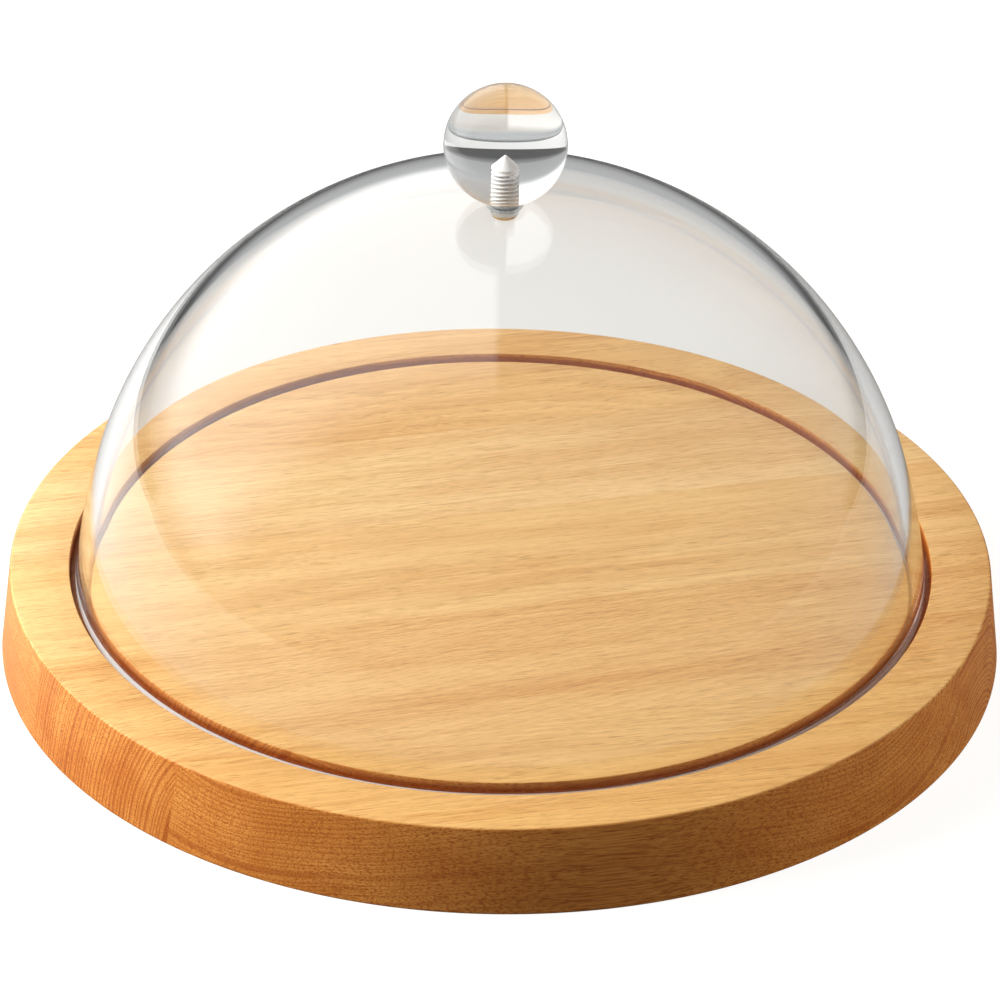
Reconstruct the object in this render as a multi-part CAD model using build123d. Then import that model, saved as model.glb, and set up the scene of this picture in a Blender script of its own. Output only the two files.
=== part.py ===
from build123d import *
import math
import os

# Cheese dome: a round board of edge-glued oak staves with a groove turned in its
# top, and a clear blown dome that stands in the groove and lifts off by a ball knob.
# Millimetres. +Z is up, +X is the viewer's right, and the board's underside is z = 0.

# Dome shell
rim_radius = 123.8          # outside of the rim, where it stands in the groove
rim_flare = 1.9             # how far the rim spreads past the sphere above it
flare_angle = 14.0          # degrees above the sphere's equator where the spread starts
centre_above_rim = 1.0      # the sphere's centre above the rim's foot
shell_wall = 4.0
rim_round = 1.2

# Board
groove_gap_outside = 1.4    # between the rim and the groove's outer wall
groove_gap_inside = 1.6     # between the rim and the groove's inner wall
groove_depth = 4.0
groove_corner = 0.6
groove_mouth = 0.3
board_lip = 17.3            # width of the board's top outside the groove
board_spread = 2.7          # the edge leans out by this much towards the base
board_thickness = 26.5
board_arris = 0.6

# Staves, from the front of the board to the back
grain_angle = 13.8          # degrees from +X to the grain
glue_lines = (-87.0, -26.0, 27.0, 76.0)     # across the grain, from the board's centre
stave_names = ("stave_front", "stave_front_middle", "stave_centre",
               "stave_rear_middle", "stave_rear")

# Ball knob, and the screw that holds it from inside the dome
ball_radius = 17.5
ball_flat_radius = 6.0
thread_radius = 2.5         # M5
thread_fit = 0.05           # radial play of the screw in the ball's thread
thread_pitch = 0.8
tapped_depth = 12.0
drill_point_angle = 90.0
hole_play = 0.3             # radial play of the screw in the shell and the washers
screw_length = 16.0         # under the head
screw_tip = 0.6
head_radius = 4.0
head_height = 3.0
head_crown = 1.4
recess_length = 4.4
recess_width = 1.1
recess_depth = 1.7

# Clear soft washers on both sides of the shell
seat_washer_radius = 6.0
seat_washer_thickness = 0.5
screw_washer_radius = 5.0
screw_washer_thickness = 0.5

# Sizes that follow
dome_radius = rim_radius - rim_flare
inner_radius = dome_radius - shell_wall
groove_floor = board_thickness - groove_depth
groove_outer = rim_radius + groove_gap_outside
groove_inner = rim_radius - shell_wall - groove_gap_inside
board_top_radius = groove_outer + board_lip
board_base_radius = board_top_radius + board_spread
dome_centre = groove_floor + centre_above_rim
apex_outside = dome_centre + dome_radius
apex_inside = dome_centre + inner_radius
hole_radius = thread_radius + hole_play
ball_seat = apex_outside + seat_washer_thickness
ball_centre = ball_seat + math.sqrt(ball_radius**2 - ball_flat_radius**2)
head_seat = apex_inside - screw_washer_thickness
thread_engaged = head_seat + screw_length - ball_seat


def corners(sketch, *points):
    """The sketch's corners nearest to the given points."""
    return [sketch.vertices().sort_by_distance((x, y, 0))[0] for x, y in points]


def make_board():
    """The whole turned board, before it is parted into its staves."""
    with BuildPart() as board:
        with BuildSketch(Plane.XZ) as section:
            with BuildLine():
                Polyline((0, 0), (board_base_radius, 0), (board_top_radius, board_thickness),
                         (groove_outer, board_thickness), (groove_outer, groove_floor),
                         (groove_inner, groove_floor), (groove_inner, board_thickness),
                         (0, board_thickness), close=True)
            make_face()
            chamfer(corners(section, (board_base_radius, 0), (board_top_radius, board_thickness)),
                    board_arris)
            chamfer(corners(section, (groove_outer, groove_floor), (groove_inner, groove_floor)),
                    groove_corner)
            chamfer(corners(section, (groove_outer, board_thickness), (groove_inner, board_thickness)),
                    groove_mouth)
        revolve(axis=Axis.Z)
    return board.part


def make_staves():
    """One solid per stave, parted along the glue lines, which run with the grain."""
    board = make_board()
    reach = 2 * board_base_radius
    sides = (-reach, *glue_lines, reach)
    staves = {}
    for name, front, back in zip(stave_names, sides, sides[1:]):
        strip = Pos(0, (front + back) / 2, board_thickness / 2) * Box(
            2 * reach, back - front, 2 * board_thickness)
        staves[name] = board & (Rot(0, 0, grain_angle) * strip)
    return staves


def make_dome_shell():
    """A sphere that runs into a gentler arc above the rim, the same wall all over."""
    start = math.radians(flare_angle)
    # The lower arc is tangent to the sphere and ends on the rim's outer edge.
    extra = (rim_radius**2 + centre_above_rim**2 - dome_radius**2) / 2 / (
        dome_radius - rim_radius * math.cos(start) + centre_above_rim * math.sin(start))
    flare_centre = (-extra * math.cos(start), dome_centre - extra * math.sin(start))
    with BuildPart() as shell:
        with BuildSketch(Plane.XZ) as section:
            with BuildLine():
                ends = []
                for radius in (dome_radius, inner_radius):
                    top = math.degrees(math.acos(hole_radius / radius))
                    low = math.degrees(math.asin((groove_floor - flare_centre[1]) / (radius + extra)))
                    upper = CenterArc((0, dome_centre), radius, flare_angle, top - flare_angle)
                    lower = CenterArc(flare_centre, radius + extra, low, flare_angle - low)
                    ends.append((upper @ 1, lower @ 0))
                Line(ends[0][0], ends[1][0])
                Line(ends[0][1], ends[1][1])
            make_face()
            fillet(corners(section, (ends[0][1].X, groove_floor), (ends[1][1].X, groove_floor)),
                   min(rim_round, 0.4 * shell_wall))
        revolve(axis=Axis.Z)
    return shell.part


def make_ball_knob():
    """A ball with a flat to seat on and a tapped blind hole with a drilled point."""
    ball = Pos(0, 0, ball_centre) * Sphere(ball_radius)
    below = Pos(0, 0, ball_seat - ball_radius) * Cylinder(ball_radius, 2 * ball_radius)
    point = thread_radius / math.tan(math.radians(drill_point_angle / 2))
    hole = Pos(0, 0, ball_seat) * Cylinder(
        thread_radius, tapped_depth, align=(Align.CENTER, Align.CENTER, Align.MIN))
    cone = Pos(0, 0, ball_seat + tapped_depth) * Cone(
        thread_radius, 0, point, align=(Align.CENTER, Align.CENTER, Align.MIN))
    return ball - below - hole - cone


def make_knob_screw():
    """Pan-head machine screw, head down, with a cross recess."""
    shank_radius = thread_radius - thread_fit
    head_foot = head_seat - head_height
    with BuildPart() as screw:
        with BuildSketch(Plane.XZ) as section:
            with BuildLine():
                Polyline((0, head_foot), (head_radius, head_foot), (head_radius, head_seat),
                         (shank_radius, head_seat),
                         (shank_radius, head_seat + screw_length - screw_tip),
                         (shank_radius - screw_tip, head_seat + screw_length),
                         (0, head_seat + screw_length), close=True)
            make_face()
            fillet(corners(section, (head_radius, head_foot)), head_crown)
        revolve(axis=Axis.Z)
        with Locations((0, 0, head_foot)):
            Box(recess_length, recess_width, 2 * recess_depth, mode=Mode.SUBTRACT)
            Box(recess_width, recess_length, 2 * recess_depth, mode=Mode.SUBTRACT)
    return screw.part


def make_washer(radius, low, high):
    """A flat ring around the screw between two heights."""
    ring = Cylinder(radius, high - low) - Cylinder(hole_radius, high - low)
    return Pos(0, 0, (low + high) / 2) * ring


def make_seat_washer():
    """Between the ball and the shell, with its underside bedded on the dome."""
    ring = make_washer(seat_washer_radius, apex_outside - seat_washer_thickness, ball_seat)
    return ring - Pos(0, 0, dome_centre) * Sphere(dome_radius)


def make_screw_washer():
    """Between the shell and the screw's head, with its top bedded in the dome."""
    ring = make_washer(screw_washer_radius, head_seat, apex_inside)
    return ring & Pos(0, 0, dome_centre) * Sphere(inner_radius)


os.makedirs("parts", exist_ok=True)
nodes = make_staves()
nodes["dome_shell"] = make_dome_shell()
nodes["ball_knob"] = make_ball_knob()
nodes["knob_screw"] = make_knob_screw()
nodes["seat_washer"] = make_seat_washer()
nodes["screw_washer"] = make_screw_washer()
for name, shape in nodes.items():
    export_step(shape, f"parts/{name}.step")
print(f"overall height {ball_centre + ball_radius:.2f}, board {2 * board_base_radius:.1f} across")
print(f"ball centre {ball_centre:.2f}, thread engaged {thread_engaged:.2f} mm,"
      f" {thread_engaged / thread_pitch:.1f} turns")
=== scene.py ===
import math

import bmesh
import bpy
import numpy as np
from mathutils import Matrix, Vector


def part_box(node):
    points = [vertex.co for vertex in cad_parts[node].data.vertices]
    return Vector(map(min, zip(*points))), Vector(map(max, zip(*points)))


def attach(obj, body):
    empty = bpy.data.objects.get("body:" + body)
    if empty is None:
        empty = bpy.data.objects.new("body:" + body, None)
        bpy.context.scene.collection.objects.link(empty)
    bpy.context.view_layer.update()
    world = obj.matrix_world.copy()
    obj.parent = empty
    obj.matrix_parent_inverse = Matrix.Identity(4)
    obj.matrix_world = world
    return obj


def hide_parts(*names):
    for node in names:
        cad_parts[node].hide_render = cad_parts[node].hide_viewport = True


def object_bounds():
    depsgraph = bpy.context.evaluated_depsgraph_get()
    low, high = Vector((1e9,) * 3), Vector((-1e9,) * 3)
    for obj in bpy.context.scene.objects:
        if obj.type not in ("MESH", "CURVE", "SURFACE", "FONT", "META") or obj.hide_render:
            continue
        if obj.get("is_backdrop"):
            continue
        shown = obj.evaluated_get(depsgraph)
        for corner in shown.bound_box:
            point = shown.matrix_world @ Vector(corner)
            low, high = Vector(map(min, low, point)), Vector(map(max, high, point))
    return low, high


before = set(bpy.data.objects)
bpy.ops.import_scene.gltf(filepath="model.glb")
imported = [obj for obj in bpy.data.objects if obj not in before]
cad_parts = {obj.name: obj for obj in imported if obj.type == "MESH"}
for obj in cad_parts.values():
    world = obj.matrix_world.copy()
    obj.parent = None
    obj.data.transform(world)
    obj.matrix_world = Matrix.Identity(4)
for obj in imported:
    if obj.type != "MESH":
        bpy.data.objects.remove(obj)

mm = 0.001
cadBounds = [list(corner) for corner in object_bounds()]
scene = bpy.context.scene
scene.view_settings.view_transform = "Standard"


def linear(hexColour):
    # sRGB hex to the linear colour that shaders take
    parts = [int(hexColour[i:i + 2], 16) / 255 for i in (1, 3, 5)]
    return [p / 12.92 if p <= 0.04045 else ((p + 0.055) / 1.055) ** 2.4 for p in parts] + [1.0]


def addNode(tree, kind, sockets=None, **settings):
    # settings go to the node, or else to its socket of that name; sockets takes outputs or values
    node = tree.nodes.new(kind)
    for name, value in settings.items():
        if hasattr(node, name):
            setattr(node, name, value)
        else:
            node.inputs[name.replace("_", " ")].default_value = value
    for socket, source in (sockets or {}).items():
        if isinstance(source, bpy.types.NodeSocket):
            tree.links.new(source, node.inputs[socket])
        else:
            node.inputs[socket].default_value = source
    return node


def newMaterial(name):
    # a material with an empty node tree
    made = bpy.data.materials.new(name)
    made.use_nodes = True
    made.node_tree.nodes.clear()
    return made, made.node_tree


def arc(centre, radius, fromAngle, toAngle, steps):
    # points at centre + radius * (cos a, sin a), angles in degrees
    a = np.radians(np.linspace(fromAngle, toAngle, steps))
    return np.column_stack([centre[0] + radius * np.cos(a), centre[1] + radius * np.sin(a)])


def straight(start, end, steps):
    t = np.linspace(0, 1, steps)[:, None]
    return np.asarray(start, float) * (1 - t) + np.asarray(end, float) * t


def turned(name, radii, heights, steps, closed):
    # a turned surface: point (i, j) is (radii cos t, radii sin t, heights), with t one full turn
    # over the columns; radii and heights hold one row per profile point, in millimetres
    t = np.linspace(0, 2 * np.pi, steps, endpoint=False)
    radii = np.broadcast_to(radii.reshape(len(radii), -1), (len(radii), steps))
    heights = np.broadcast_to(heights.reshape(len(heights), -1), radii.shape)
    points = np.stack([radii * np.cos(t), radii * np.sin(t), heights], axis=-1) * mm
    rows = len(radii)
    i, j = np.meshgrid(np.arange(rows if closed else rows - 1), np.arange(steps), indexing="ij")
    up, side = (i + 1) % rows, (j + 1) % steps
    corner = lambda a, b: (a * steps + b).ravel()
    faces = np.column_stack([corner(i, j), corner(i, side), corner(up, side), corner(up, j)])
    mesh = bpy.data.meshes.new(name)
    mesh.from_pydata(points.reshape(-1, 3), [], faces.tolist())
    work = bmesh.new()
    work.from_mesh(mesh)
    bmesh.ops.remove_doubles(work, verts=work.verts, dist=1e-7)
    bmesh.ops.recalc_face_normals(work, faces=work.faces)
    work.to_mesh(mesh)
    work.free()
    return mesh


def addPiece(name, mesh, body, nodes, materials, sharpAngle=35):
    mesh.polygons.foreach_set("use_smooth", [True] * len(mesh.polygons))
    mesh.set_sharp_from_angle(angle=math.radians(sharpAngle))
    for finish in materials:
        mesh.materials.append(finish)
    piece = bpy.data.objects.new(name, mesh)
    scene.collection.objects.link(piece)
    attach(piece, body)
    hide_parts(*nodes)
    return piece


def faceCentres(mesh):
    # one row of x, y and z in millimetres per face
    centres = np.empty(len(mesh.polygons) * 3)
    mesh.polygons.foreach_get("center", centres)
    return centres.reshape(-1, 3) / mm


# oak

oakGrain = dict(
    turn=13.8,              # degrees from X to the grain
    ringWidth=1.5,          # mm a year
    unevenYears=1.8,        # how far a ring may come early or late, in years
    ringAlong=0.22,         # how plain the rings are along the grain, as a share of across it
    drift=(7.7, 24, 24),    # how often the rings wander in a metre, along, across and up
    fibre=(30, 0.4, 0.4),   # patches in mm, along, across and up: the fibres,
    tone=(160, 13, 13),     # the tone that drifts over a stave,
    vessel=(6, 0.2, 0.2),   # the open vessels that show as fine dark dashes,
    ray=(2.6, 0.5, 5),      # and the flecks of the rays
    earlyVessels=0.13,      # how many more vessels open in the early wood
    vesselDepth=0.42,       # how dark they are
    rayDepth=0.2,
    edgeOilAndShade=0.85,         # how much darker the edge is: partly the oil it drank, partly painted shade on the sides
    finish=0.44,            # roughness of the oiled face, and of its open vessels
    openFinish=0.7,
)
# tints for the wood's own marks, and painted shade: groove is painted shade in the dome's groove, and edge is
# partly painted shade on the sides
oakTintsAndShade = dict(rings="#c08c50", rays="#b98a58", vessels="#9a6432", edge="#e9c28c", speckle="#c49c72",
                groove="#d0a478")

# each stave: where its pith lay (across the grain and height, mm), how far the pith runs aside
# over the board's length, how much its rings wander (mm) and how plain they are, and its tones
staveCuts = {
    "stave_front": dict(
        pith=(-112, 55), lean=-0.10, wander=5, ring=0.55, pale="#efc17a", dark="#dba45c", seed=3.1),
    "stave_front_middle": dict(
        pith=(-108, -4), lean=0.26, wander=4, ring=0.75, pale="#efc17c", dark="#d99f58", seed=11.7),
    "stave_centre": dict(
        pith=(14, -120), lean=0.05, wander=6, ring=0.6, pale="#f2c784", dark="#dfaa64", seed=23.9),
    "stave_rear_middle": dict(
        pith=(230, 30), lean=0.04, wander=4, ring=0.5, pale="#f4cd8f", dark="#e4b272", seed=37.3),
    "stave_rear": dict(
        pith=(112, -48), lean=-0.12, wander=9, ring=0.7, pale="#efc17e", dark="#d8a05b", seed=51.2),
}


def oiledOak(name, cut):
    # flat- and quarter-sawn European oak, planed, turned and oiled: rings about a pith that lay
    # outside the board, so flat faces show long lines, the ends show arcs, and open vessels
    # show as fine dark dashes
    made, tree = newMaterial(name)
    g = oakGrain
    turn = math.radians(g["turn"])
    where = addNode(tree, "ShaderNodeTexCoord")
    along = addNode(tree, "ShaderNodeMapping", {"Vector": where.outputs["Object"]}, vector_type="TEXTURE",
                    Rotation=(0, 0, turn)).outputs[0]
    apart = addNode(tree, "ShaderNodeMapping", {"Vector": along}, Location=(cut["seed"], 0, 0)).outputs[0]
    # the rings wander slowly along the trunk, and a little within a hand's width
    drift = addNode(tree, "ShaderNodeMapping", {"Vector": apart}, Scale=g["drift"])
    wander = addNode(tree, "ShaderNodeTexNoise", {"Vector": drift.outputs[0]}, Scale=1.0, Detail=2.0)
    centred = addNode(tree, "ShaderNodeVectorMath", {0: wander.outputs["Color"], 1: (0.5, 0.5, 0.5)},
                      operation="SUBTRACT")
    reach = (0, cut["wander"] * mm, cut["wander"] * mm)
    moved = addNode(tree, "ShaderNodeVectorMath", {0: centred.outputs[0], 1: reach, 2: along},
                    operation="MULTIPLY_ADD").outputs[0]
    # distance from the pith's line, counted in years
    parts = addNode(tree, "ShaderNodeSeparateXYZ", {0: moved})
    side = addNode(tree, "ShaderNodeMath", {0: parts.outputs["X"], 1: -cut["lean"], 2: parts.outputs["Y"]},
                   operation="MULTIPLY_ADD")
    fromPith = addNode(tree, "ShaderNodeCombineXYZ", {"Y": side.outputs[0], "Z": parts.outputs["Z"]})
    pith = (0, cut["pith"][0] * mm, cut["pith"][1] * mm)
    radius = addNode(tree, "ShaderNodeVectorMath", {0: fromPith.outputs[0], 1: pith}, operation="DISTANCE")
    years = addNode(tree, "ShaderNodeMath", {0: radius.outputs["Value"], 1: g["ringWidth"] * mm},
                    operation="DIVIDE").outputs[0]
    uneven = addNode(tree, "ShaderNodeTexNoise", {"W": years}, noise_dimensions="1D", Scale=0.4, Detail=1.0)
    counted = addNode(tree, "ShaderNodeMath", {0: uneven.outputs[0], 1: g["unevenYears"], 2: years},
                      operation="MULTIPLY_ADD")
    season = addNode(tree, "ShaderNodeMath", {0: counted.outputs[0]}, operation="FRACT").outputs[0]
    early = addNode(tree, "ShaderNodeMapRange", {"Value": season}, From_Min=0.55, From_Max=0.0)
    late = addNode(tree, "ShaderNodeMapRange", {"Value": season}, From_Min=0.35, From_Max=0.97,
                   interpolation_type="SMOOTHSTEP")
    # noise drawn out along the grain; the vessels and fibres follow the rings' wander
    noise = {}
    for key, vector, detail in (("vessel", moved, 1.0), ("fibre", moved, 3.0), ("tone", apart, 3.0),
                                ("ray", apart, 1.0)):
        drawn = addNode(tree, "ShaderNodeMapping", {"Vector": vector}, Scale=[1000 / size for size in g[key]])
        pattern = addNode(tree, "ShaderNodeTexNoise", {"Vector": drawn.outputs[0]}, Scale=1.0, Detail=detail)
        noise[key] = pattern.outputs[0]
    # vessels are cut out to dashes, thickest in the early wood
    cutAt = addNode(tree, "ShaderNodeMath", {0: early.outputs[0], 1: g["earlyVessels"], 2: noise["vessel"]},
                    operation="MULTIPLY_ADD")
    vessels = addNode(tree, "ShaderNodeMapRange", {"Value": cutAt.outputs[0]}, From_Min=0.60,
                      From_Max=0.72).outputs[0]
    shares = {}
    shares["vessels"] = addNode(tree, "ShaderNodeMath", {0: vessels, 1: g["vesselDepth"]},
                                operation="MULTIPLY")
    shares["rays"] = addNode(tree, "ShaderNodeMapRange", {"Value": noise["ray"]}, From_Min=0.60,
                             From_Max=0.75, To_Max=g["rayDepth"])
    both = addNode(tree, "ShaderNodeMath", {0: noise["fibre"], 1: noise["tone"]}, operation="ADD")
    blend = addNode(tree, "ShaderNodeMapRange", {"Value": both.outputs[0]}, From_Min=0.72, From_Max=1.22,
                    interpolation_type="SMOOTHSTEP")
    base = addNode(tree, "ShaderNodeMix", {0: blend.outputs[0], 6: linear(cut["dark"]),
                                           7: linear(cut["pale"])}, data_type="RGBA")
    # the rings are faint along the grain and plain across it
    grainWay = (math.cos(turn), math.sin(turn), 0)
    cross = addNode(tree, "ShaderNodeVectorMath", {0: where.outputs["Normal"], 1: grainWay},
                    operation="DOT_PRODUCT")
    endShare = addNode(tree, "ShaderNodeMath", {0: cross.outputs["Value"]}, operation="ABSOLUTE")
    ringShare = addNode(tree, "ShaderNodeMapRange", {"Value": endShare.outputs[0]}, From_Max=0.6,
                        To_Min=g["ringAlong"] * cut["ring"], To_Max=cut["ring"])
    shares["rings"] = addNode(tree, "ShaderNodeMath", {0: late.outputs[0], 1: ringShare.outputs[0]},
                              operation="MULTIPLY")
    # the turned edge is darker and redder: partly the oil its cut fibres drank, partly painted shade on faces
    # turned away from the top; it is speckled by its cut fibres
    facing = addNode(tree, "ShaderNodeSeparateXYZ", {0: where.outputs["Normal"]})
    shares["edge"] = addNode(tree, "ShaderNodeMapRange", {"Value": facing.outputs["Z"]}, From_Min=0.97,
                             From_Max=0.5, To_Max=g["edgeOilAndShade"])
    cutEnds = addNode(tree, "ShaderNodeMapRange", {"Value": noise["fibre"]}, From_Min=0.46, From_Max=0.60)
    shares["speckle"] = addNode(tree, "ShaderNodeMath", {0: cutEnds.outputs[0], 1: shares["edge"].outputs[0]},
                                operation="MULTIPLY")
    # painted shade: what lies below the top, from the groove inwards, is darkened as if shaded in the recess
    place = addNode(tree, "ShaderNodeSeparateXYZ", {0: where.outputs["Object"]})
    top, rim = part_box("stave_centre")[1].z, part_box("dome_shell")[1].x
    below = addNode(tree, "ShaderNodeMapRange", {"Value": place.outputs["Z"]}, From_Min=top - 0.3 * mm,
                    From_Max=top - 2 * mm)
    flat = addNode(tree, "ShaderNodeVectorMath", {0: where.outputs["Object"], 1: (1, 1, 0)},
                   operation="MULTIPLY")
    outward = addNode(tree, "ShaderNodeVectorMath", {0: flat.outputs[0]}, operation="LENGTH")
    inward = addNode(tree, "ShaderNodeMapRange", {"Value": outward.outputs["Value"]}, From_Min=rim + 6 * mm,
                     From_Max=rim + 3 * mm)
    shares["groove"] = addNode(tree, "ShaderNodeMath", {0: below.outputs[0], 1: inward.outputs[0]},
                               operation="MULTIPLY")
    colour = base.outputs[2]
    for key, tint in oakTintsAndShade.items():
        laid = addNode(tree, "ShaderNodeMix", {0: shares[key].outputs[0], 6: colour, 7: linear(tint)},
                       data_type="RGBA", blend_type="MULTIPLY")
        colour = laid.outputs[2]
    rough = addNode(tree, "ShaderNodeMapRange", {"Value": vessels}, To_Min=g["finish"],
                    To_Max=g["openFinish"])
    relief = addNode(tree, "ShaderNodeMath", {0: vessels, 1: noise["fibre"]}, operation="SUBTRACT")
    bump = addNode(tree, "ShaderNodeBump", {"Height": relief.outputs[0]}, Strength=0.2, Distance=0.08 * mm,
                   invert=True)
    shader = addNode(tree, "ShaderNodeBsdfPrincipled", {"Base Color": colour, "Roughness": rough.outputs[0],
                                                        "Normal": bump.outputs[0]}, IOR=1.48)
    addNode(tree, "ShaderNodeOutputMaterial", {"Surface": shader.outputs[0]})
    return made


# board

boardShape = dict(
    spread=2.7,             # the edge leans out to the base
    arris=0.8,              # radius of the softened edges
    grooveGap=1.4,          # outside the dome's rim
    grooveWidth=7.0,
    grooveCorner=1.0,
    grooveMouth=0.35,
    middle=20.0,            # radius of the inmost ring of faces
    steps=480,
)
glueLines = (-87.0, -26.0, 27.0, 76.0)      # mm across the grain


def makeBoard():
    s = boardShape
    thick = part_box("stave_centre")[1].z / mm
    rimLow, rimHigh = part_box("dome_shell")
    floor = rimLow.z / mm
    base = cadBounds[1][0] / mm
    top = base - s["spread"]
    outer = rimHigh.x / mm + s["grooveGap"]
    inner = outer - s["grooveWidth"]
    a, c, m = s["arris"], s["grooveCorner"], s["grooveMouth"]
    lean = math.degrees(math.atan2(s["spread"], thick))
    profile = np.vstack([
        [(0, 0)], straight((s["middle"], 0), (base - a - 3, 0), 6),
        arc((base - a, a), a, -90, lean, 7),
        arc((top - a, thick - a), a, lean, 90, 7),
        arc((outer + m, thick - m), m, 90, 180, 5),
        arc((outer - c, floor + c), c, 0, -90, 5),
        arc((inner + c, floor + c), c, -90, -180, 5),
        arc((inner - m, thick - m), m, 0, 90, 5),
        straight((inner - 8, thick), (s["middle"], thick), 6), [(0, thick)]])
    return turned("board", profile[:, 0], profile[:, 1], s["steps"], closed=False)


def makeStaves():
    board = makeBoard()
    turn = math.radians(oakGrain["turn"])
    across = Vector((-math.sin(turn), math.cos(turn), 0))
    sides = (None, *glueLines, None)
    for (name, cut), front, back in zip(staveCuts.items(), sides, sides[1:]):
        work = bmesh.new()
        work.from_mesh(board)
        # cut away what lies before the front glue line and behind the back one
        for limit, way in ((front, -1), (back, 1)):
            if limit is None:
                continue
            cutEdges = bmesh.ops.bisect_plane(
                work, geom=work.verts[:] + work.edges[:] + work.faces[:], dist=1e-7,
                plane_co=across * limit * mm, plane_no=across * way, clear_outer=True)["geom_cut"]
            rim = [e for e in cutEdges if isinstance(e, bmesh.types.BMEdge)]
            bmesh.ops.triangle_fill(work, use_beauty=True, use_dissolve=False, edges=rim)
        bmesh.ops.recalc_face_normals(work, faces=work.faces)
        mesh = bpy.data.meshes.new(name)
        work.to_mesh(mesh)
        work.free()
        oak = oiledOak("oiled_oak_" + name, cut)
        addPiece("oak_" + name, mesh, "board", [name], [oak])
    bpy.data.meshes.remove(board)


# clear plastic

def clearAcrylic(name, haze):
    # cast and blown PMMA, polished: IOR 1.49, a trace of wiping marks up to the given haze; lamps
    # shine through it, so the board under the dome is lit
    made, tree = newMaterial(name)
    where = addNode(tree, "ShaderNodeTexCoord").outputs["Object"]
    marks = addNode(tree, "ShaderNodeTexNoise", {"Vector": where}, Scale=38.0, Detail=6.0, Roughness=0.65)
    gloss = addNode(tree, "ShaderNodeMapRange", {"Value": marks.outputs[0]}, From_Min=0.45,
                    From_Max=0.75, To_Min=0.0, To_Max=haze)
    shader = addNode(tree, "ShaderNodeBsdfPrincipled", {"Roughness": gloss.outputs[0]}, IOR=1.49,
                     Base_Color=linear("#fbfdfd"), Transmission_Weight=1.0)
    bare = addNode(tree, "ShaderNodeBsdfTransparent", Color=(0.97, 0.975, 0.975, 1))
    path = addNode(tree, "ShaderNodeLightPath")
    soft = addNode(tree, "ShaderNodeMixShader", {0: path.outputs["Is Diffuse Ray"],
                                                 1: shader.outputs[0], 2: bare.outputs[0]})
    lit = addNode(tree, "ShaderNodeMixShader", {0: path.outputs["Is Shadow Ray"],
                                                1: soft.outputs[0], 2: bare.outputs[0]})
    addNode(tree, "ShaderNodeOutputMaterial", {"Surface": lit.outputs[0]})
    return made


def cutAcrylic(name, clear):
    # clear plastic as a tool leaves it, sawn or tapped: frosted white, clear by the given share
    made, tree = newMaterial(name)
    where = addNode(tree, "ShaderNodeTexCoord").outputs["Object"]
    grit = addNode(tree, "ShaderNodeTexNoise", {"Vector": where}, Scale=2500.0, Detail=2.0)
    bump = addNode(tree, "ShaderNodeBump", {"Height": grit.outputs[0]}, Strength=0.3, Distance=0.05 * mm)
    shader = addNode(tree, "ShaderNodeBsdfPrincipled", {"Normal": bump.outputs[0]}, IOR=1.49,
                     Base_Color=linear("#fafaf9"), Roughness=0.5, Transmission_Weight=clear)
    addNode(tree, "ShaderNodeOutputMaterial", {"Surface": shader.outputs[0]})
    return made


domeShape = dict(
    flare=1.9,              # the rim stands this far outside the sphere
    flareAngle=14.0,
    centreAboveRim=1.0,
    wall=4.0,
    rimRound=1.3,
    satin=1.2,              # the sawn foot is left satin to this height
    hole=2.8,
    steps=320,
)


def makeDome():
    s = domeShape
    low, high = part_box("dome_shell")
    rim, foot = high.x / mm, low.z / mm
    radius, centre = rim - s["flare"], foot + s["centreAboveRim"]
    start, rise = math.radians(s["flareAngle"]), s["centreAboveRim"]
    # the lower arc leaves the sphere smoothly and ends at the rim's outer edge
    extra = (rim**2 + rise**2 - radius**2) / 2 / (radius - rim * math.cos(start) + rise * math.sin(start))
    lowerCentre = (-extra * math.cos(start), centre - extra * math.sin(start))
    sides = []
    for r in (radius, radius - s["wall"]):
        topAngle = math.degrees(math.acos(s["hole"] / r))
        lowAngle = math.degrees(math.asin((foot + s["rimRound"] - lowerCentre[1]) / (r + extra)))
        sides.append(np.vstack([
            arc((0, centre), r, topAngle, s["flareAngle"], 90)[:-1],
            arc(lowerCentre, r + extra, s["flareAngle"], lowAngle, 24)]))
    outer, inner = sides
    k = s["rimRound"]
    rimEdge = np.vstack([arc((outer[-1, 0] - k, foot + k), k, 0, -90, 7)[1:],
                         arc((inner[-1, 0] + k, foot + k), k, -90, -180, 7)[:-1]])
    profile = np.vstack([outer, rimEdge, inner[::-1]])
    mesh = turned("dome", profile[:, 0], profile[:, 1], s["steps"], closed=True)
    dome = addPiece("blown_dome", mesh, "dome", ["dome_shell"],
                    [clearAcrylic("clear_blown_acrylic", 0.03), cutAcrylic("satin_cut_rim", 0.3)])
    sawn = faceCentres(mesh)[:, 2] < foot + s["satin"]
    mesh.polygons.foreach_set("material_index", sawn.astype(int))
    return dome


# knob

knobShape = dict(
    ballRadius=17.5, flat=6.0,
    thread=2.5, threadDepth=0.42, pitch=0.8, fit=0.06,
    tapped=12.0, point=2.5,
    head=4.0, headHeight=3.0, crown=1.4, tip=0.6,
    recessLength=4.4, recessWidth=1.1, recessDepth=1.6,
    steps=160, screwSteps=96, perPitch=12,
)


def threadWave(heights, steps, depth):
    # a right-hand vee thread: how far each point of the wall is cut in, a triangle wave of
    # height / pitch less the turn, one row per height and one column per angle
    turns = np.linspace(0, 1, steps, endpoint=False)[None, :]
    phase = (heights[:, None] / knobShape["pitch"] - turns) % 1.0
    return depth * np.abs(2 * phase - 1)


def fade(heights, low, high, length):
    # 0 at both ends and 1 between them, over the given length
    return np.clip(np.minimum(heights - low, high - heights) / length, 0, 1)[:, None]


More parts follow.
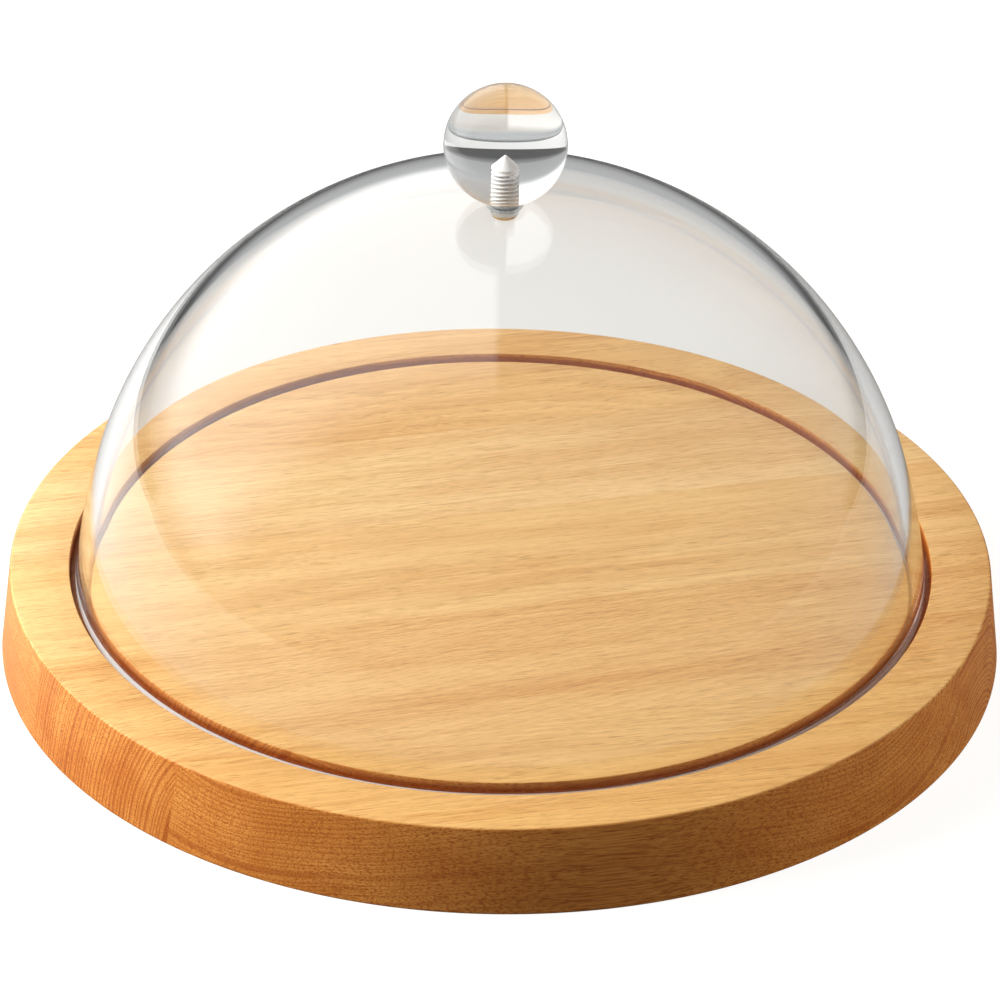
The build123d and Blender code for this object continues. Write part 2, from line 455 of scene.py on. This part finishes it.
def makeBall():
    s = knobShape
    low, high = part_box("ball_knob")
    seat, top = low.z / mm, high.z / mm
    centre = top - s["ballRadius"]
    lowAngle = -math.degrees(math.acos(s["flat"] / s["ballRadius"]))
    sphere = arc((0, centre), s["ballRadius"], 90, lowAngle, 110)
    sphere[0, 0] = 0
    face = straight((s["flat"], seat), (s["thread"] + 0.3, seat), 5)[1:]
    count = int(s["tapped"] / s["pitch"] * s["perPitch"])
    wall = np.column_stack([np.full(count, s["thread"]), np.linspace(seat + 0.05, seat + s["tapped"], count)])
    cone = straight((s["thread"], seat + s["tapped"]), (0, seat + s["tapped"] + s["point"]), 8)[1:]
    profile = np.vstack([sphere, face, wall, cone])
    radii = np.repeat(profile[:, :1], s["steps"], axis=1)
    first = len(sphere) + len(face)
    rows = slice(first, first + len(wall))
    cut = threadWave(wall[:, 1], s["steps"], s["threadDepth"])
    radii[rows] -= cut * fade(wall[:, 1], seat, seat + s["tapped"], s["pitch"])
    mesh = turned("ball", radii, profile[:, 1:], s["steps"], closed=False)
    ball = addPiece("ball_knob_clear", mesh, "knob", ["ball_knob"],
                    [clearAcrylic("clear_cast_acrylic", 0.02), cutAcrylic("tapped_acrylic", 0.1)])
    x, y, z = faceCentres(mesh).T
    inside = (np.hypot(x, y) < s["thread"] + 0.2) & (z < centre) & (z > seat + 0.01)
    mesh.polygons.foreach_set("material_index", inside.astype(int))
    return ball


def stainlessSteel(name):
    # machined stainless: bright, with fine turning marks around the axis
    made, tree = newMaterial(name)
    where = addNode(tree, "ShaderNodeTexCoord").outputs["Object"]
    marks = addNode(tree, "ShaderNodeTexNoise", {"Vector": addNode(
        tree, "ShaderNodeMapping", {"Vector": where}, Scale=(300, 300, 6000)).outputs[0]}, Scale=1.0,
        Detail=2.0)
    rough = addNode(tree, "ShaderNodeMapRange", {"Value": marks.outputs[0]}, To_Min=0.18, To_Max=0.36)
    bump = addNode(tree, "ShaderNodeBump", {"Height": marks.outputs[0]}, Strength=0.2, Distance=0.02 * mm)
    shader = addNode(tree, "ShaderNodeBsdfPrincipled", {"Roughness": rough.outputs[0],
                                                        "Normal": bump.outputs[0]},
                     Base_Color=linear("#c9c8c6"), Metallic=1.0)
    addNode(tree, "ShaderNodeOutputMaterial", {"Surface": shader.outputs[0]})
    return made


def makeScrew():
    s = knobShape
    low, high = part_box("knob_screw")
    foot, end = low.z / mm, high.z / mm
    seat = foot + s["headHeight"]
    shank = s["thread"] - s["fit"]
    core = shank - s["threadDepth"]
    crownCentre = s["head"] - s["crown"]
    crownFace = straight((0, foot), (crownCentre, foot), 40)
    side = np.vstack([arc((crownCentre, foot + s["crown"]), s["crown"], -90, 0, 8)[1:],
                      [(s["head"], seat - 0.2)], [(s["head"] - 0.2, seat)], [(shank + 0.1, seat)]])
    count = int((end - seat) / s["pitch"] * s["perPitch"])
    wall = np.column_stack([np.full(count, shank), np.linspace(seat + 0.02, end - 0.02, count)])
    profile = np.vstack([crownFace, side, wall, [(core - 0.3, end)], [(0, end)]])
    t = np.linspace(0, 2 * np.pi, s["screwSteps"], endpoint=False)
    radii = np.repeat(profile[:, :1], s["screwSteps"], axis=1)
    heights = np.repeat(profile[:, 1:], s["screwSteps"], axis=1)
    first = len(crownFace) + len(side)
    rows = slice(first, first + count)
    blank = fade(wall[:, 1], seat, end + 9, 1.0)
    cut = threadWave(wall[:, 1], s["screwSteps"], s["threadDepth"])
    radii[rows] -= (s["threadDepth"] - cut) * blank
    taper = np.clip((wall[:, 1] - (end - s["tip"])) / s["tip"], 0, 1)[:, None]
    radii[rows] = np.minimum(radii[rows], shank - taper * (s["threadDepth"] + 0.2))
    # the cross recess: deep where a point lies inside either arm, with short ramps at its edges
    x, y = np.abs(radii * np.cos(t)), np.abs(radii * np.sin(t))
    narrow, wide = np.minimum(x, y), np.maximum(x, y)
    inArm = np.clip((s["recessWidth"] / 2 - narrow) / 0.12, 0, 1) * np.clip(
        (s["recessLength"] / 2 - wide) / 0.4, 0, 1)
    head = np.zeros(len(profile), bool)
    head[:len(crownFace)] = True
    heights = heights + (inArm * s["recessDepth"]) * head[:, None]
    mesh = turned("screw", radii, heights, s["screwSteps"], closed=False)
    return addPiece("pan_head_screw", mesh, "screw", ["knob_screw"],
                    [stainlessSteel("machined_stainless")])


def softWasher(name):
    # clear soft vinyl washer, slightly cloudy
    made, tree = newMaterial(name)
    where = addNode(tree, "ShaderNodeTexCoord").outputs["Object"]
    cloud = addNode(tree, "ShaderNodeTexNoise", {"Vector": where}, Scale=700.0, Detail=3.0)
    rough = addNode(tree, "ShaderNodeMapRange", {"Value": cloud.outputs[0]}, To_Min=0.12, To_Max=0.3)
    shader = addNode(tree, "ShaderNodeBsdfPrincipled", {"Roughness": rough.outputs[0]}, IOR=1.53,
                     Base_Color=linear("#f2f5f5"), Transmission_Weight=0.9)
    bare = addNode(tree, "ShaderNodeBsdfTransparent", Color=(0.9, 0.9, 0.9, 1))
    path = addNode(tree, "ShaderNodeLightPath")
    lit = addNode(tree, "ShaderNodeMixShader", {0: path.outputs["Is Shadow Ray"],
                                                1: shader.outputs[0], 2: bare.outputs[0]})
    addNode(tree, "ShaderNodeOutputMaterial", {"Surface": lit.outputs[0]})
    return made


washerShape = dict(seatRadius=6.0, screwRadius=5.0, rings=12, steps=96)


def makeWashers():
    w, hole = washerShape, domeShape["hole"]
    vinyl = softWasher("clear_soft_vinyl")
    rimLow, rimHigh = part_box("dome_shell")
    centre = rimLow.z / mm + domeShape["centreAboveRim"]
    outside = rimHigh.x / mm - domeShape["flare"]
    for node, name, radius, bedding in (
            ("seat_washer", "knob_seat_washer", w["seatRadius"], outside),
            ("screw_washer", "screw_head_washer", w["screwRadius"], outside - domeShape["wall"])):
        low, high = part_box(node)
        # one face is flat and the other lies on the shell's sphere
        r = np.linspace(hole, radius, w["rings"])
        bedded = centre + np.sqrt(bedding**2 - r**2)
        flat = np.full_like(r, (high.z if node == "seat_washer" else low.z) / mm)
        top, bottom = (flat, bedded) if node == "seat_washer" else (bedded, flat)
        radii = np.concatenate([r, r[::-1]])
        heights = np.concatenate([top, bottom[::-1]])
        mesh = turned(node, radii, heights, w["steps"], closed=True)
        addPiece(name, mesh, "dome", [node], [vinyl])


makeStaves()
print("staves made")
makeDome()
print("dome made")
makeBall()
makeScrew()
makeWashers()
print("knob made")

# camera

view = dict(distance=2.0335, elevation=31.17, lens=252.0, up=0.4854, side=-0.0106, roll=0.7)


def addCamera():
    v = view
    target = Vector((0, 0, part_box("stave_centre")[1].z))
    e = math.radians(v["elevation"])
    back = Vector((0, -math.cos(e), math.sin(e)))
    data = bpy.data.cameras.new("camera")
    data.lens, data.sensor_width = v["lens"], 36.0
    data.clip_start, data.clip_end = 0.05, 30
    camera = bpy.data.objects.new("camera", data)
    scene.collection.objects.link(camera)
    turn = back.to_track_quat("Z", "Y").to_matrix()
    aim = Matrix.Rotation(math.radians(-v["side"]), 3, "Y") @ Matrix.Rotation(math.radians(v["up"]), 3, "X")
    roll = Matrix.Rotation(math.radians(v["roll"]), 3, "Z")
    camera.matrix_world = Matrix.Translation(target + back * v["distance"]) @ (turn @ aim @ roll).to_4x4()
    scene.camera = camera


addCamera()

# studio

studio = dict(
    paper="#f4f4f3",
    nearSheet=dict(x=(-0.95, 0.95), y=(-1.3, 0.34)),     # m, the sheet the acrylic mirrors and bends
    # the card stood on its back edge, seen only in the acrylic: dark up to a share of its height,
    # lighter to the top edge, and pale past the dome
    card=dict(height=0.058, darkTo=0.6, low=0.10, high=0.38, pastDome=0.88),
    sweepRadius=6.0,
    # how bright the sheet glows: as shown, through the acrylic, and on the wood
    glow=dict(shown=1.0, through=0.70, onWood=0.02),
    mirrored=1.35,          # and in a reflection, at the left; it fades to the front and the right
    key=dict(size=(0.5, 0.5), place=(-0.52, 0.10, 0.50), power=4.4),
    left=dict(size=(0.6, 0.6), place=(-1.12, -0.34, 0.40), power=19.0),
    right=dict(size=(0.5, 0.5), place=(1.2, -0.16, 0.28), power=9.0),
    # how bright the room is at each height (sine of the angle above the horizon)
    room=((-0.50, 0.55), (-0.26, 0.44), (0.0, 0.54), (0.5, 0.46), (1.0, 0.42)),
    roomPastDome=((-0.45, 0.95), (-0.30, 0.86), (-0.05, 0.55), (0.4, 0.42), (1.0, 0.40)),
    leftPanel=1.55,         # the white panel on the left and overhead, up to the middle
    ambient=0.20,           # share of the room that lights the wood
    fill="#f6c9a0",         # and its warm colour there
)


pastBall = 2.5              # light that crossed more faces than this came through more than the ball


def whitePaper():
    # matt white paper that glows at its own level for each kind of ray, as painted light that keeps it nearly
    # shadowless; reflections see a painted pool of light at its left and back
    made, tree = newMaterial("matt_white_paper")
    where = addNode(tree, "ShaderNodeTexCoord").outputs["Object"]
    tooth = addNode(tree, "ShaderNodeTexNoise", {"Vector": where}, Scale=400.0, Detail=3.0)
    bump = addNode(tree, "ShaderNodeBump", {"Height": tooth.outputs[0]}, Strength=0.05, Distance=0.05 * mm)
    path = addNode(tree, "ShaderNodeLightPath")
    # little of the key light comes back from the sheet to the wood
    grey = addNode(tree, "ShaderNodeMix", {0: path.outputs["Is Diffuse Ray"], 6: linear("#8c8c8b"),
                                           7: linear("#33271c")}, data_type="RGBA")
    matt = addNode(tree, "ShaderNodeBsdfDiffuse", {"Normal": bump.outputs[0], "Color": grey.outputs[2]})
    parts = addNode(tree, "ShaderNodeSeparateXYZ", {0: where})
    toLeft = addNode(tree, "ShaderNodeMapRange", {"Value": parts.outputs["X"]},
                     interpolation_type="SMOOTHSTEP", From_Min=-0.10, From_Max=-0.26, To_Min=0.08)
    toBack = addNode(tree, "ShaderNodeMapRange", {"Value": parts.outputs["Y"]},
                     interpolation_type="SMOOTHSTEP", From_Min=-0.24, From_Max=0.02, To_Min=0.15,
                     To_Max=studio["mirrored"])
    mirrored = addNode(tree, "ShaderNodeMath", {0: toLeft.outputs[0], 1: toBack.outputs[0]},
                       operation="MULTIPLY")
    glows = studio["glow"]
    level = addNode(tree, "ShaderNodeMix", {0: path.outputs["Is Glossy Ray"], 2: glows["onWood"],
                                            3: mirrored.outputs[0]})
    # a ray bent through the acrylic is glossy too, so the transmission test comes after
    for ray, share in (("Is Transmission Ray", "through"), ("Is Camera Ray", "shown")):
        level = addNode(tree, "ShaderNodeMix", {0: path.outputs[ray], 2: level.outputs[0], 3: glows[share]})
    glow = addNode(tree, "ShaderNodeEmission", {"Strength": level.outputs[0]}, Color=linear(studio["paper"]))
    both = addNode(tree, "ShaderNodeAddShader", {0: matt.outputs[0], 1: glow.outputs[0]})
    addNode(tree, "ShaderNodeOutputMaterial", {"Surface": both.outputs[0]})
    return made


def darkCard():
    # grey card that glows at set levels, painted light with no lamp on it: it draws the dark band in the
    # ball; past both walls of the dome it glows pale
    made, tree = newMaterial("grey_card")
    c = studio["card"]
    where = addNode(tree, "ShaderNodeTexCoord").outputs["Object"]
    parts = addNode(tree, "ShaderNodeSeparateXYZ", {0: where})
    upward = addNode(tree, "ShaderNodeMapRange", {"Value": parts.outputs["Z"]},
                     From_Min=c["darkTo"] * c["height"], From_Max=c["height"], To_Min=c["low"],
                     To_Max=c["high"])
    path = addNode(tree, "ShaderNodeLightPath")
    walls = addNode(tree, "ShaderNodeMath", {0: path.outputs["Transmission Depth"], 1: pastBall},
                    operation="GREATER_THAN")
    level = addNode(tree, "ShaderNodeMix", {0: walls.outputs[0], 2: upward.outputs[0], 3: c["pastDome"]})
    glow = addNode(tree, "ShaderNodeEmission", {"Strength": level.outputs[0]}, Color=linear(studio["paper"]))
    addNode(tree, "ShaderNodeOutputMaterial", {"Surface": glow.outputs[0]})
    return made


def addSheet(name, xs, ys, paper):
    # a flat grid over x and y at the foot's height
    x, y = np.meshgrid(xs, ys)
    points = np.stack([x, y, np.zeros_like(x)], axis=-1).reshape(-1, 3)
    i, j = np.meshgrid(np.arange(len(ys) - 1), np.arange(len(xs) - 1), indexing="ij")
    k = (i * len(xs) + j).ravel()
    faces = np.column_stack([k, k + 1, k + 1 + len(xs), k + len(xs)])
    if name == "paper_sweep":
        # leave the near sheet's place open
        hole = (i == 1) & (j == 1)
        faces = faces[~hole.ravel()]
    mesh = bpy.data.meshes.new(name)
    mesh.from_pydata(points, [], faces.tolist())
    mesh.materials.append(paper)
    sheet = bpy.data.objects.new(name, mesh)
    scene.collection.objects.link(sheet)
    sheet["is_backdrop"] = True
    return sheet


def addStudio():
    paper = whitePaper()
    (left, right), (front, back) = studio["nearSheet"]["x"], studio["nearSheet"]["y"]
    far = studio["sweepRadius"]
    addSheet("near_paper", (left, right), (front, back), paper)
    sweep = addSheet("paper_sweep", (-far, left, right, far), (-far, front, back, far), paper)
    # past the near sheet the acrylic mirrors and bends the card and the dim room instead
    sweep.visible_glossy = False
    sweep.visible_transmission = False
    card = addSheet("dark_card", (left, right), (back, back + studio["card"]["height"]), darkCard())
    # stood up on the near sheet's back edge
    for corner in card.data.vertices:
        corner.co = (corner.co.x, back, corner.co.y - back)
    card.visible_camera = False
    card.visible_diffuse = False
    card.visible_shadow = False
    for name in ("key", "left", "right"):
        lamp = studio[name]
        data = bpy.data.lights.new(name + "_softbox", "AREA")
        data.shape, data.energy = "RECTANGLE", lamp["power"]
        data.size, data.size_y = lamp["size"]
        light = bpy.data.objects.new(name + "_softbox", data)
        scene.collection.objects.link(light)
        light.location = lamp["place"]
        light.rotation_euler = (Vector((0, 0, 0.04)) - light.location).to_track_quat("-Z", "Y").to_euler()
        light.visible_glossy = False
        light.visible_transmission = False
    world = bpy.data.worlds.new("studio_room")
    scene.world = world
    world.use_nodes = True
    tree = world.node_tree
    tree.nodes.clear()
    where = addNode(tree, "ShaderNodeTexCoord")
    parts = addNode(tree, "ShaderNodeSeparateXYZ", {0: where.outputs["Generated"]})
    height = addNode(tree, "ShaderNodeMapRange", {"Value": parts.outputs["Z"]}, From_Min=-1.0)
    path = addNode(tree, "ShaderNodeLightPath")
    ramps = []
    for bands in (studio["room"], studio["roomPastDome"]):
        ramp = addNode(tree, "ShaderNodeValToRGB", {0: height.outputs[0]})
        stops = ramp.color_ramp.elements
        for index, (sine, level) in enumerate(bands):
            stop = stops[index] if index < 2 else stops.new(1.0)
            stop.position = (sine + 1) / 2
            stop.color = (level, level, level, 1)
        ramps.append(ramp.outputs[0])
    # light that came through both walls of the dome, not the knob alone
    walls = addNode(tree, "ShaderNodeMath", {0: path.outputs["Transmission Depth"], 1: pastBall},
                    operation="GREATER_THAN")
    ramp = addNode(tree, "ShaderNodeMix", {0: walls.outputs[0], 2: ramps[0], 3: ramps[1]})
    left = addNode(tree, "ShaderNodeMapRange", {"Value": parts.outputs["X"]},
                   interpolation_type="SMOOTHSTEP", From_Min=-0.005, From_Max=-0.045)
    over = addNode(tree, "ShaderNodeMapRange", {"Value": parts.outputs["Z"]},
                   interpolation_type="SMOOTHSTEP", From_Min=-0.05, From_Max=0.15, To_Max=studio["leftPanel"])
    behind = addNode(tree, "ShaderNodeMapRange", {"Value": parts.outputs["Y"]},
                     interpolation_type="SMOOTHSTEP", From_Min=-0.3, From_Max=0.12)
    panel = addNode(tree, "ShaderNodeMath", {0: left.outputs[0], 1: over.outputs[0]}, operation="MULTIPLY")
    level = addNode(tree, "ShaderNodeMath", {0: panel.outputs[0], 1: behind.outputs[0], 2: ramp.outputs[0]},
                    operation="MULTIPLY_ADD")
    share = addNode(tree, "ShaderNodeMapRange", {"Value": path.outputs["Is Diffuse Ray"]}, To_Min=1.0,
                    To_Max=studio["ambient"])
    strength = addNode(tree, "ShaderNodeMath", {0: level.outputs[0], 1: share.outputs[0]},
                       operation="MULTIPLY")
    tint = addNode(tree, "ShaderNodeMix", {0: path.outputs["Is Diffuse Ray"], 6: linear("#fbfbfb"),
                                           7: linear(studio["fill"])}, data_type="RGBA")
    room = addNode(tree, "ShaderNodeBackground", {"Strength": strength.outputs[0], "Color": tint.outputs[2]})
    addNode(tree, "ShaderNodeOutputWorld", {"Surface": room.outputs[0]})


addStudio()
print("studio lit")

visualBounds = [list(corner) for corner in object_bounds()]
